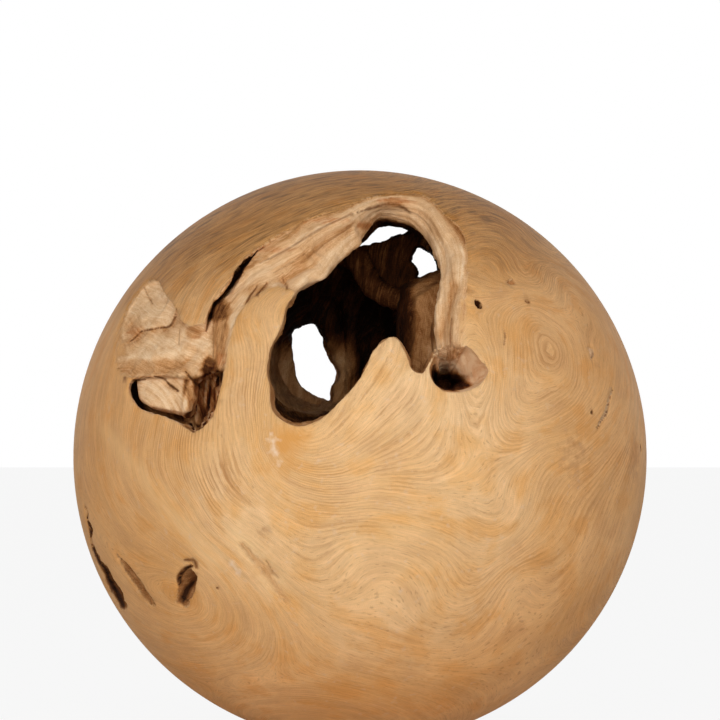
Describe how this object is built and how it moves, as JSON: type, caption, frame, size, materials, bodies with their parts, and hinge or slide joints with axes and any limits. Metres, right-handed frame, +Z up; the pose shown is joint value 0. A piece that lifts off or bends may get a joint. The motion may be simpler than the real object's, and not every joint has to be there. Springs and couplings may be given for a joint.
{
  "type": "wooden ball",
  "caption": "Hollow ball turned from a hardwood root stump, with a torn mouth in its upper front and a deep natural hollow that breaks through the back.",
  "frame": {"origin": "centre of the ball", "axes": "+Z up, the torn mouth faces -Y, +X to the right seen from the mouth's side"},
  "size_m": [0.3999, 0.3998, 0.4],
  "materials": {
    "root_wood": "sanded, matte"
  },
  "bodies": {
    "root": {"ball": "root_wood"}
  },
  "joints": []
}
